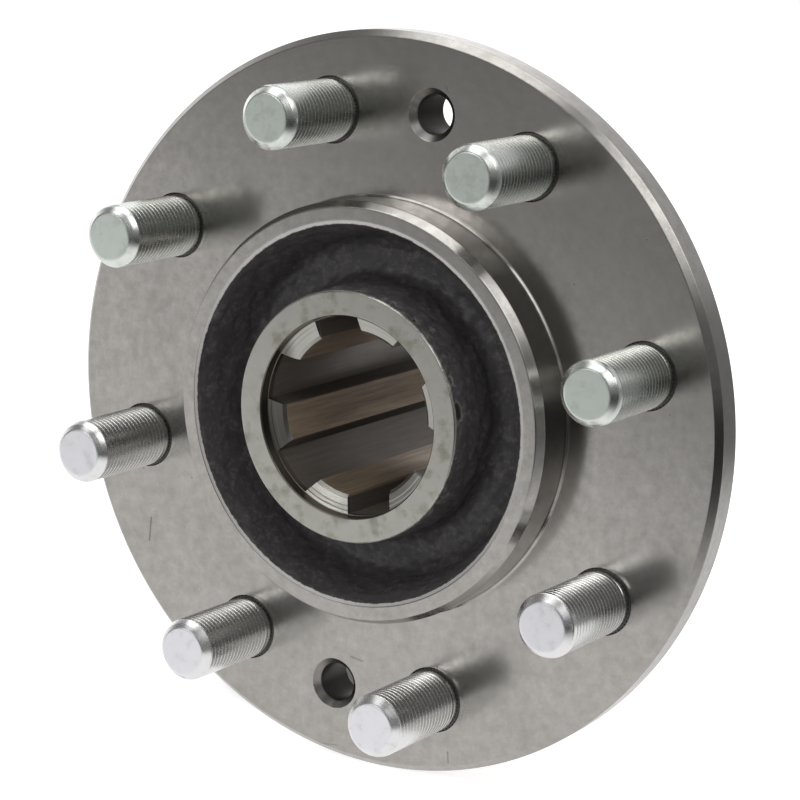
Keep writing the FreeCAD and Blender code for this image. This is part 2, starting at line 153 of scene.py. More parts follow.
class Graph:
    """The node tree of a material or of the world, built up by expressions."""

    def __init__(self, tree: bpy.types.NodeTree) -> None:
        """Empties the tree and starts on it."""
        self.tree = tree
        tree.nodes.clear()

    def node(self, kind: str, settings: Settings = None, inputs: Inputs = None) -> Node:
        """Adds one node.

        Args:
            kind: the node's type.
            settings: properties that are set before the inputs.
            inputs: a value or link for each input, by index or name.

        Returns:
            The new node.
        """
        made = self.tree.nodes.new(kind)
        for name, value in (settings or {}).items():
            setattr(made, name, value)
        for key, value in (inputs or {}).items():
            target = made.inputs[key]
            if isinstance(value, Number):
                value = value.socket
            if isinstance(value, Socket):
                self.tree.links.new(value, target)
            elif target.type == "RGBA":
                target.default_value = (*value[:3], 1.0)
            else:
                target.default_value = value
        return made

    def number(self, kind: str, settings: Settings = None, inputs: Inputs = None, output: str | int = 0) -> Number:
        """Adds one node and gives one of its outputs as a number."""
        return Number(self, self.node(kind, settings, inputs).outputs[output])

    def mix(self, factor: Input, low: Input, high: Input) -> Socket:
        """Mix of two colours.

        Args:
            factor: how much of the second colour shows.
            low: the first colour.
            high: the second colour.

        Returns:
            The mixed colour's socket.
        """
        settings = {"data_type": "RGBA", "clamp_factor": True}
        return self.node("ShaderNodeMix", settings, {0: factor, 6: low, 7: high}).outputs[2]

    def vector(self, operation: str, first: Input, second: Input) -> Socket:
        """One Vector Math node's vector."""
        return self.node("ShaderNodeVectorMath", {"operation": operation}, {0: first, 1: second}).outputs[0]

    def measure(self, operation: str, first: Input, second: Input) -> Number:
        """One Vector Math node's plain number."""
        return self.number("ShaderNodeVectorMath", {"operation": operation}, {0: first, 1: second}, "Value")

    def combine(self, x: Input, y: Input, z: Input) -> Socket:
        """A vector from three numbers."""
        return self.node("ShaderNodeCombineXYZ", None, {0: x, 1: y, 2: z}).outputs[0]

    def split(self, vector: Input) -> list[Number]:
        """The three numbers of a vector."""
        parts = self.node("ShaderNodeSeparateXYZ", None, {0: vector})
        return [Number(self, part) for part in parts.outputs]

    def ray(self, kind: str) -> Number:
        """1 where the ray that is shaded is of a kind, Camera or Glossy, and 0 elsewhere."""
        return self.number("ShaderNodeLightPath", None, None, f"Is {kind} Ray")


class Place:
    """Where a shaded point lies on the part, in millimetres in the row frame."""

    def __init__(self, graph: Graph) -> None:
        """Adds the nodes that give the point and its distance from the axis."""
        coordinates = graph.node("ShaderNodeTexCoord").outputs["Object"]
        self.point = graph.vector("MULTIPLY", coordinates, (1 / MM, 1 / MM, 1 / MM))
        self.x, self.y, self.z = graph.split(self.point)
        self.radius = (self.x * self.x + self.z * self.z).math("SQRT")
        self.graph = graph

    def grain(self, width: float, detail: float, rough: float, at: Input = None, extra: Input = None) -> Number:
        """Smooth noise around 0.5.

        Args:
            width: the width of its lumps in millimetres.
            detail: how many finer layers it has.
            rough: how strong the finer layers are.
            at: where it is read, if not at the shaded point itself.
            extra: a fourth coordinate, where it is read with one.

        Returns:
            A number from 0 to 1.
        """
        settings = {"noise_dimensions": "3D" if extra is None else "4D"}
        at = self.point if at is None else at
        values = {"Vector": at, "Scale": 1.0 / width, "Detail": detail, "Roughness": rough}
        if extra is not None:
            values["W"] = extra
        return self.graph.number("ShaderNodeTexNoise", settings, values)

    def lathe_lines(self, width: float, breaks: float) -> Number:
        """Fine lines round the axis, as a turning tool leaves.

        Args:
            width: width of a line in millimetres.
            breaks: how often a line changes along one turn.

        Returns:
            A number from 0 to 1.
        """
        reach = breaks * width
        across = self.graph.combine(self.radius, self.y, self.z / self.radius * reach)
        return self.grain(width, 2.0, 0.6, across, self.x / self.radius * reach)

    def from_spots(self, circle: float, angle: float) -> Number:
        """Distance from the nearer of two axes that stand opposite each other on a circle.

        Args:
            circle: the circle's radius in millimetres.
            angle: the angle of one of them, in degrees.

        Returns:
            The distance in millimetres.
        """
        turn = math.radians(angle)
        x, z = -math.sin(turn), math.cos(turn)
        outward = (self.x * x + self.z * z).math("ABSOLUTE") - circle
        sideways = self.x * z - self.z * x
        return (outward * outward + sideways * sideways).math("SQRT")

    def stroke(self, start: Point, end: Point, width: float) -> Number:
        """A straight scratch between two points.

        Args:
            start: one end, in millimetres.
            end: the other end.
            width: half its width.

        Returns:
            1 in the scratch and 0 away from it.
        """
        run = Vector(end) - Vector(start)
        offset = self.graph.vector("SUBTRACT", self.point, start)
        share = self.graph.measure("DOT_PRODUCT", offset, tuple(run / run.length_squared)).clamped()
        nearest = self.graph.combine(*(share * part for part in run))
        gap = self.graph.measure("DISTANCE", offset, nearest)
        return gap.between(width, width * 0.4)


@dataclass(frozen=True)
class Finish:
    """What every finish shares: making the material and its one shader."""

    name: str

    def material(self) -> bpy.types.Material:
        """The finished material."""
        made = bpy.data.materials.new(self.name)
        made.use_nodes = True
        graph = Graph(made.node_tree)
        shader = self.shade(graph, Place(graph))
        graph.node("ShaderNodeOutputMaterial", None, {"Surface": shader.outputs[0]})
        return made

    def shade(self, graph: Graph, place: Place) -> Node:
        """Adds the finish's own nodes.

        Args:
            graph: the material's nodes.
            place: where the shaded point lies.

        Returns:
            The shader node.
        """
        raise NotImplementedError

    @staticmethod
    def metal(
        graph: Graph,
        colour: Input,
        roughness: Input,
        height: Number,
        strength: float,
        distance: float,
        metallic: Input = 1.0,
    ) -> Node:
        """The shader of a bare or plated metal.

        Args:
            graph: the material's nodes.
            colour: base colour.
            roughness: roughness.
            height: relief for the bump.
            strength: the bump's strength.
            distance: the relief's depth in millimetres.
            metallic: how metallic it is.

        Returns:
            The shader node.
        """
        settings = {"Strength": strength, "Distance": distance * MM, "Height": height}
        bump = graph.node("ShaderNodeBump", None, settings)
        values = {"Base Color": colour, "Metallic": metallic, "Roughness": roughness, "Normal": bump.outputs[0]}
        return graph.node("ShaderNodeBsdfPrincipled", None, values)


@dataclass(frozen=True)
class Mark:
    """One straight scratch or tick on the flange."""

    start: Point
    end: Point
    width: float
    depth: float


MARKS = (
    Mark((18.0, 0.0, 82.6), (18.7, 0.0, 80.9), 0.33, 0.42),
    Mark((-8.6, 0.0, -67.0), (-5.2, 0.0, -67.6), 0.42, 0.28),
    Mark((-72.9, 0.0, -38.4), (-73.6, 0.0, -44.7), 0.39, 0.42),
    Mark((20.9, 0.0, -87.6), (21.1, 0.0, -90.3), 0.375, 0.35),
    Mark((-19.8, 0.0, -92.1), (-12.7, 0.0, -91.6), 0.3, 0.245),
    Mark((-47.3, 0.0, -36.4), (-44.9, 0.0, -40.3), 0.45, 0.28),
)
"""Scratches and ticks that the flange's front face carries."""


@dataclass(frozen=True)
class Zones:
    """How far a shaded point belongs to each surface of the casting, from 0 to 1."""

    cast: Number
    boss: Number
    bore: Number
    deep: Number
    land: Number
    mouth: Number
    hole: Number
    edge: Number


@dataclass(frozen=True)
class HubIron(Finish):
    """Grey iron: turned on its faces, broached in the bore, black and rough in the recess."""

    turned: Colour = (0.45, 0.433, 0.41)
    turned_dull: Colour = (0.34, 0.325, 0.305)
    # Painted highlight on the pilot ring's inner edge.
    rubbed_and_highlight: Colour = (0.56, 0.545, 0.52)
    boss: Colour = (0.42, 0.415, 0.38)
    boss_stain: Colour = (0.22, 0.215, 0.155)
    bore: Colour = (0.16, 0.142, 0.122)
    bore_dull: Colour = (0.085, 0.072, 0.061)
    land: Colour = (0.42, 0.32, 0.225)
    # Painted shade for the tooth ends on the left, where the boss's wall shades them.
    tooth_end_shade: Colour = (0.16, 0.152, 0.138)
    # Painted shade inside the stud and puller holes.
    hole_shade: Colour = (0.05, 0.046, 0.043)
    pit: Colour = (0.07, 0.06, 0.055)
    cast: Colour = (0.055, 0.051, 0.052)
    cast_worn: Colour = (0.095, 0.089, 0.086)
    broaching: Point = (1.0, 0.05, 1.0)
    ring_inner: float = 48.05
    boss_outer: float = 31.7
    bore_wall: float = 25.95
    mouth_wall: float = 25.6
    land_wall: float = 21.6
    lead_end: float = -11.8
    ring_front: Span = (-12.5, -12.8)
    skin_back: Span = (8.0, 7.0)
    flange_back: Span = (13.9, 13.8)
    hole_sink: Span = (0.03, 0.12)
    stud_circle: float = 76.2
    stud_hole: float = 9.6
    puller_angle: float = 349.5
    puller_rim: Span = (7.6, 7.4)
    puller_cone: Span = (2.0, 1.3)
    # Where the painted shade on the left tooth ends lies, along X.
    tooth_end_shade_side: Span = (-17.0, -20.5)

    def shade(self, graph: Graph, place: Place) -> Node:
        """Adds the nodes of the four surfaces and joins them by where they lie."""
        zone = self.zones(graph, place)
        lines = place.lathe_lines(0.35, 5.0)
        wide_lines = place.lathe_lines(1.6, 2.5)
        fine = place.grain(0.5, 3.0, 0.65)
        blotch = place.grain(3.2, 4.0, 0.7)
        cloud = place.grain(26.0, 3.0, 0.6)
        patch = place.grain(5.0, 3.0, 0.6)
        pebbles = place.grain(1.3, 2.0, 0.55)
        stretched = graph.vector("MULTIPLY", place.point, self.broaching)
        broached = place.grain(0.9, 3.0, 0.6, stretched)
        marks = self.marks(graph, place, patch)

        dull = (cloud * 1.1 + wide_lines * 0.4 + blotch * 1.9 + fine * 0.4 - 1.42).clamped()
        turned = graph.mix(dull, self.turned, self.turned_dull)
        turned = graph.mix(marks, turned, self.pit)
        # A thin band at the pilot ring's inner edge is painted pale: a painted highlight.
        turned = graph.mix(zone.edge, turned, self.rubbed_and_highlight)
        stain = patch.between(0.49, 0.70) * 0.65 + (blotch - 0.5).clamped() * 0.7
        face = graph.mix(stain, self.boss, self.boss_stain)
        wall = graph.mix(zone.land, self.bore, self.land)
        wall = graph.mix((broached * 1.3 - 0.25).clamped(), wall, self.bore_dull)
        # The tooth ends on the left are painted darker: painted shade from the boss's wall.
        ends = graph.mix(place.x.between(*self.tooth_end_shade_side) * 0.85, self.boss, self.tooth_end_shade)
        wall = graph.mix(zone.deep, graph.mix(zone.mouth, ends, self.bore), wall)
        worn = (patch * 0.5 + pebbles * 0.9 + fine * 0.4).between(0.88, 1.15)
        casting = graph.mix(worn, self.cast, self.cast_worn)
        colour = graph.mix(zone.boss, turned, face)
        colour = graph.mix(zone.bore, colour, wall)
        colour = graph.mix(zone.cast, colour, casting)
        # Hole walls and countersinks are painted near black: painted shade inside the holes, weaker on the puller
        # holes' cones.
        colour = graph.mix(zone.hole, colour, self.hole_shade)

        smooth = 0.205 + (fine - 0.5) * 0.08 + (blotch - 0.5) * 0.16 + (cloud - 0.5) * 0.08 + marks * 0.3
        roughness = smooth + zone.cast * 0.26 + zone.boss * 0.1 + zone.bore * 0.14 + zone.hole * 0.24
        roughness = roughness + zone.edge * 0.25
        tooth_ends = zone.bore * (1.0 - zone.deep)
        teeth = zone.bore * zone.deep
        relief = lines * (0.12 + tooth_ends * 1.2) + fine * 0.14 + blotch * 0.18 - marks * 0.8
        relief = relief + zone.cast * (fine * 0.9 + pebbles * 3.2 + blotch * 5.0) + teeth * broached * 0.6
        metallic = 1.0 - zone.cast * 0.9 - teeth * 0.45
        return self.metal(graph, colour, roughness, relief, 0.45, 0.06, metallic=metallic)

    def zones(self, graph: Graph, place: Place) -> Zones:
        """Adds the nodes that tell the casting's surfaces apart."""
        radius, along = place.radius, place.y
        ragged = (place.grain(2.2, 3.0, 0.7) - 0.5) * 0.9
        inside_ring = (radius + ragged).between(self.ring_inner + 0.15, self.ring_inner - 0.05)
        outside_boss = (radius + ragged * 0.6).between(self.boss_outer, self.boss_outer + 0.3)
        bore = radius.between(self.bore_wall, self.bore_wall - 0.15)
        deep = along.between(self.lead_end - 0.1, self.lead_end + 0.1)
        on_circle = radius.band(self.stud_circle, self.stud_hole, 0.2) * along.between(*self.flange_back)
        puller = place.from_spots(self.stud_circle, self.puller_angle).between(*self.puller_rim)
        cone = puller * along.between(*self.puller_cone) * 0.6
        return Zones(
            cast=inside_ring * outside_boss * along.between(*self.skin_back),
            boss=radius.between(self.boss_outer + 0.9, self.boss_outer + 0.4) * (1.0 - bore),
            bore=bore,
            deep=deep,
            land=radius.between(self.land_wall, self.land_wall - 0.3) * deep,
            mouth=radius.between(self.mouth_wall - 0.4, self.mouth_wall - 0.1),
            # hole: where the painted shade inside the holes lies.
            hole=on_circle * along.between(*self.hole_sink) * (1.0 - cone),
            # edge: where the painted highlight on the ring's inner edge lies.
            edge=radius.band(self.ring_inner + 0.35, 0.3, 0.2) * along.between(*self.ring_front),
        )

    @staticmethod
    def marks(graph: Graph, place: Place, patch: Number) -> Number:
        """Adds the pinholes, which lie in patches, and the scratches of the turned faces."""
        values = {"Vector": place.point, "Scale": 1.0 / 8.0}
        marks = graph.number("ShaderNodeTexVoronoi", None, values).between(0.05, 0.02)
        marks = marks * patch.between(0.42, 0.55) * 0.5
        for mark in MARKS:
            marks = marks.math("MAXIMUM", place.stroke(mark.start, mark.end, mark.width) * mark.depth)
        return marks


@dataclass(frozen=True)
class Zinc(Finish):
    """Bright zinc plating with the faint green and violet of its passivation."""

    plain: Colour = (0.79, 0.80, 0.77)
    green: Colour = (0.67, 0.74, 0.68)
    violet: Colour = (0.81, 0.80, 0.85)
    worn: Colour = (0.44, 0.45, 0.42)
    shadowed: Colour = (0.10, 0.098, 0.092)
    tip: float = -29.0
    flange: float = 0.0

    def shade(self, graph: Graph, place: Place) -> Node:
        """Adds the plating's drifting tint, its matt tip face, scuffed crests and painted shade on the shank where
        it sits in the flange.
        """
        drift = place.grain(60.0, 1.0, 0.4)
        lower = (place.z * 0.006 + drift).between(0.66, 0.38)
        tint = graph.mix(lower, self.green, self.violet)
        patch = place.grain(3.0, 3.0, 0.65)
        fine = place.grain(0.45, 2.0, 0.6)
        tip = place.y.between(self.tip + 0.15, self.tip)
        colour = graph.mix(0.3 + tip * 0.5, self.plain, tint)
        # Worn patches all over, and on the tip faces scuffs that grow towards the top: wear mixed with painted
        # shade that darkens the upper studs' tips.
        scuffs_and_top_shade = place.grain(5.0, 4.0, 0.65).between(0.47, 0.66)
        scuffs_and_top_shade = patch.between(0.52, 0.75) * 0.3 + tip * scuffs_and_top_shade * place.z.between(-30.0, 60.0) * 0.35
        colour = graph.mix(scuffs_and_top_shade.clamped(), colour, self.worn)
        # The shank inside the flange's hole is painted dark: painted shade in the hole.
        shank_shade = (place.y + (patch - 0.5) * 0.2).between(self.flange - 0.02, self.flange + 0.15)
        colour = graph.mix(shank_shade * place.y.between(6.0, 5.0), colour, self.shadowed)
        roughness = 0.27 + (patch - 0.5) * 0.2 + tip * 0.1 + (fine - 0.5) * 0.1 + shank_shade * 0.2
        return self.metal(graph, colour, roughness, fine * 0.6 + patch * 0.8, 0.35, 0.05)


@dataclass(frozen=True)
class GroundSteel(Finish):
    """Hardened bearing steel, ground all round."""

    bright: Colour = (0.56, 0.56, 0.56)
    dull: Colour = (0.42, 0.42, 0.43)
    roughness: float = 0.24

    def shade(self, graph: Graph, place: Place) -> Node:
        """Adds the grinding lines round the axis and a light film of oil."""
        lines = place.lathe_lines(0.25, 6.0)
        cloud = place.grain(12.0, 3.0, 0.6)
        fine = place.grain(0.4, 2.0, 0.5)
        colour = graph.mix((cloud * 0.7 + lines * 0.6 - 0.25).clamped(), self.bright, self.dull)
        roughness = self.roughness + (lines - 0.5) * 0.14 + (cloud - 0.5) * 0.1
        return self.metal(graph, colour, roughness, lines * 0.8 + fine * 0.3, 0.25, 0.02)


@dataclass(frozen=True)
class PressedSteel(Finish):
    """Cold-rolled sheet, pressed to shape: cages and seal cases."""

    plain: Colour = (0.40, 0.41, 0.43)
    dark: Colour = (0.24, 0.24, 0.25)

    def shade(self, graph: Graph, place: Place) -> Node:
        """Adds the drawn streaks and the dull patches of the sheet."""
        lines = place.lathe_lines(0.6, 9.0)
        patch = place.grain(6.0, 4.0, 0.65)
        fine = place.grain(0.6, 2.0, 0.5)
        colour = graph.mix((patch * 0.9 + lines * 0.4 - 0.2).clamped(), self.plain, self.dark)
        roughness = 0.34 + (patch - 0.5) * 0.25
        return self.metal(graph, colour, roughness, lines * 0.5 + fine * 0.5, 0.3, 0.04)


@dataclass(frozen=True)
class SpringSteel(Finish):
    """Blackened spring steel with its edges rubbed bright."""

    black: Colour = (0.045, 0.045, 0.05)
    rubbed_and_highlight: Colour = (0.20, 0.19, 0.18)

    def shade(self, graph: Graph, place: Place) -> Node:
        """Adds the blackening, worn through in small patches."""
        patch = place.grain(2.5, 4.0, 0.7)
        fine = place.grain(0.4, 2.0, 0.5)
        worn = patch.between(0.56, 0.7)
        colour = graph.mix(worn, self.black, self.rubbed_and_highlight)
        return self.metal(graph, colour, 0.42 - worn * 0.12, fine * 0.6 + patch * 0.4, 0.3, 0.04, metallic=0.85)


@dataclass(frozen=True)
class SealRubber(Finish):
    """Black nitrile rubber with moulding lines and a little grease."""

    black: Colour = (0.018, 0.018, 0.019)
    bloom: Colour = (0.045, 0.044, 0.042)

    def shade(self, graph: Graph, place: Place) -> Node:
        """Adds the bloom and the fine moulded rings."""
        patch = place.grain(4.0, 3.0, 0.6)
        lines = place.lathe_lines(0.5, 2.0)
        colour = graph.mix(patch.between(0.42, 0.7), self.black, self.bloom)
        roughness = 0.5 + (patch - 0.5) * 0.3
        return self.metal(graph, colour, roughness, lines * 0.7 + patch * 0.3, 0.25, 0.04, metallic=0.0)


@dataclass(frozen=True)
class StudioFloor(Finish):
    """White floor that keeps the part's shadow, and fades away from the part in what the metal mirrors.

    Under the bearing it is painted a soft shade, so that the lower puller hole looks dark.
    """

    paint: Colour = (0.86, 0.86, 0.86)
    shade_paint: Colour = (0.21, 0.207, 0.203)
    shade_middle: Span = (-52.0, 62.0)
    shade_fade: Span = (46.0, 8.0)
    lift: float = 0.62
    mirrored: float = 0.97
    mirrored_far: float = 0.34
    near_fade: Span = (420.0, 130.0)
    flagged: float = 0.035
    flag_x: Span = (85.0, 270.0)
    flag_y: Span = (120.0, -150.0)
    mirrored_back: float = 0.25
    back_x: Span = (0.0, 200.0)
    back_y: Span = (120.0, 430.0)

    def shade(self, graph: Graph, place: Place) -> Node:
        """Adds the paint, the lift for the camera and the level that glossy metal sees."""
        x, y = place.x - self.shade_middle[0], place.y - self.shade_middle[1]
        shaded = (x * x + y * y).math("SQRT").between(*self.shade_fade)
        colour = graph.mix(shaded, self.paint, self.shade_paint)
        paint = graph.node("ShaderNodeBsdfDiffuse", None, {"Color": colour})
        lift = graph.ray("Camera") * (1.0 - shaded) * self.lift
        lit = graph.node("ShaderNodeEmission", None, {"Strength": lift})
        shown = graph.node("ShaderNodeAddShader", None, {0: paint.outputs[0], 1: lit.outputs[0]})
        near = (place.x - place.y).between(*self.near_fade)
        flag = place.x.between(*self.flag_x) * place.y.between(*self.flag_y)
        back = place.x.between(*self.back_x) * place.y.between(*self.back_y)
        level = self.mirrored_far + near * (self.mirrored - self.mirrored_far)
        level = level + flag * (self.flagged - level)
        level = level + back * (self.mirrored_back - level)
        mirrored = graph.node("ShaderNodeEmission", None, {"Strength": level})
        faces = {0: graph.ray("Glossy"), 1: shown.outputs[0], 2: mirrored.outputs[0]}
        return graph.node("ShaderNodeMixShader", None, faces)


def mesh_object(name: str, points: np.ndarray, faces: Iterable[Sequence[int]]) -> Object:
    """A mesh object in the scene.

    Args:
        name: its name.
        points: corners in millimetres, one row each.
        faces: corner numbers of each face.

    Returns:
        The object, with smooth faces.
    """
    mesh = bpy.data.meshes.new(name)
    mesh.from_pydata((np.asarray(points) * MM).tolist(), [], [tuple(face) for face in faces])
    mesh.validate()
    mesh.update()
    mesh.shade_smooth()
    made = bpy.data.objects.new(name, mesh)
    bpy.context.scene.collection.objects.link(made)
    return made


def sharpen(piece: Object, degrees: float) -> None:
    """Marks edges sharper than an angle, so that flat and round faces each keep their own shading."""
    piece.data.set_sharp_from_angle(angle=math.radians(degrees))


def weld(piece: Object, reach: float) -> None:
    """Joins corners that lie within reach of each other, in millimetres, and drops faces left with no area."""
    work = bmesh.new()
    work.from_mesh(piece.data)
    bmesh.ops.remove_doubles(work, verts=work.verts, dist=reach * MM)
    bmesh.ops.dissolve_degenerate(work, edges=work.edges, dist=reach * MM * 0.5)
    bmesh.ops.recalc_face_normals(work, faces=work.faces)
    work.to_mesh(piece.data)
    work.free()


def closed_tube(rings: int, steps: int) -> list[list[int]]:
    """Faces of a tube with a lid on each end, from rings of corners that follow one another.

    Args:
        rings: how many rings there are.
        steps: how many corners a ring has.

    Returns:
        The corner numbers of each face.
    """
    faces = [list(range(steps)), list(range((rings - 1) * steps, rings * steps))[::-1]]
    for ring in range(rings - 1):
        for step in range(steps):
            after = (step + 1) % steps
            a, b = ring * steps + step, ring * steps + after
            faces.append([a, a + steps, b + steps, b])
    return faces


def dress(piece: Object, material: bpy.types.Material) -> None:
    """Gives a piece its one material."""
    piece.data.materials.clear()
    piece.data.materials.append(material)
    LOG.info("%s: %s, %d faces", piece.name, material.name, len(piece.data.polygons))


@dataclass(frozen=True)
class Corner:
    """One corner of a turned section, with its rounding and the surface that follows it."""

    radius: float
    along: float
    rounding: float
    surface: Surface = Surface.TURNED


@dataclass
class Section:
    """A closed section that is turned once round the Y axis."""

    corners: Sequence[Corner]
    turn_parts: int = 288
    arc_steps: int = 4
    large_arc: float = 1.5
    longest_cut: float = 0.45
    straight: float = 175.0
    cast_step: float = 0.85
    guard: float = 0.3

    def rounded_corner(self, number: int) -> list[Span]:
        """The points that round one corner off."""
        here = self.corners[number]
        middle = Vector((here.radius, here.along))
        before = self.corners[number - 1]
        after = self.corners[(number + 1) % len(self.corners)]
        inward = Vector((before.radius, before.along)) - middle
        onward = Vector((after.radius, after.along)) - middle
        bend = inward.angle(onward)
        if here.rounding <= 0 or bend > math.radians(self.straight):
            return [tuple(middle)]
        longest = min(inward.length, onward.length) * self.longest_cut
        cut = min(here.rounding / math.tan(bend / 2), longest)
        start = middle + inward.normalized() * cut
        end = middle + onward.normalized() * cut
        steps = self.arc_steps if here.rounding < self.large_arc else 3 * self.arc_steps
        points = []
        for step in range(steps + 1):
            share = step / steps
            points.append(tuple(start * (1 - share) ** 2 + middle * 2 * share * (1 - share) + end * share**2))
        return points

    def outline(self) -> tuple[np.ndarray, np.ndarray]:
        """The whole section.

        Returns:
            Its points as (radius, along) rows, and for each point how much of a cast surface it is.
        """
        points: list[Span] = []
        rough: list[float] = []
        arcs = [self.rounded_corner(number) for number in range(len(self.corners))]
        for number, arc in enumerate(arcs):
            corner = self.corners[number]
            last = self.corners[number - 1].surface.value
            points += arc
            rough += [min(last, corner.surface.value)] * len(arc)
            start, end = Vector(arc[-1]), Vector(arcs[(number + 1) % len(arcs)][0])
            run = (end - start).length
            if corner.surface is Surface.CAST:
                count = max(1, round(run / self.cast_step))
                shares = [step / count for step in range(1, count)]
            else:
                shares = [self.guard / run, 1 - self.guard / run] if run > 3 * self.guard else []
            points += [tuple(start.lerp(end, share)) for share in shares]
            rough += [corner.surface.value] * len(shares)
        return np.array(points), np.array(rough)

    def turned(self, name: str, relief: Callable[[Vector], float] | None = None) -> Object:
        """The section turned round the axis.

        Args:
            name: the mesh object's name.
            relief: how far a cast point stands out, in millimetres, from where the point is.

        Returns:
            The closed mesh.
        """
        outline, rough = self.outline()
        count = len(outline)
        along = np.roll(outline, -1, axis=0) - np.roll(outline, 1, axis=0)
        outward = np.stack([along[:, 1], -along[:, 0]], axis=1)
        outward /= np.linalg.norm(outward, axis=1)[:, None]
        angles = np.arange(self.turn_parts) * (2 * math.pi / self.turn_parts)
        across = np.stack([-np.sin(angles), np.cos(angles)], axis=1)
        points = np.zeros((self.turn_parts, count, 3))
        points[:, :, 0] = outline[None, :, 0] * across[:, 0:1]
        points[:, :, 1] = outline[None, :, 1]
        points[:, :, 2] = outline[None, :, 0] * across[:, 1:2]
        if relief is not None:
            for index in np.flatnonzero(rough > 0):
                for turn in range(self.turn_parts):
                    shift = relief(Vector(points[turn, index])) * rough[index]
                    step = outward[index] * shift
                    points[turn, index] += (step[0] * across[turn, 0], step[1], step[0] * across[turn, 1])
        faces = []
        for turn in range(self.turn_parts):
            here, after = turn * count, (turn + 1) % self.turn_parts * count
            for index in range(count):
                onward = (index + 1) % count
                faces.append((here + index, after + index, after + onward, here + onward))
        made = mesh_object(name, points.reshape(-1, 3), faces)
        weld(made, 0.001)
        return made


@dataclass
class StudCircle:
    """The circle that the studs stand on."""

    radius: float = 76.2
    first_angle: float = 12.0
    count: int = 8

    def at(self, degrees: float) -> Span:
        """The x and z, in millimetres, of the place on the circle at an angle from the top."""
        angle = math.radians(degrees)
        return -self.radius * math.sin(angle), self.radius * math.cos(angle)

    def spot(self, number: int) -> Span:
        """Where a stud's axis crosses the wheel seat."""
        return self.at(self.first_angle + 360 * number / self.count)


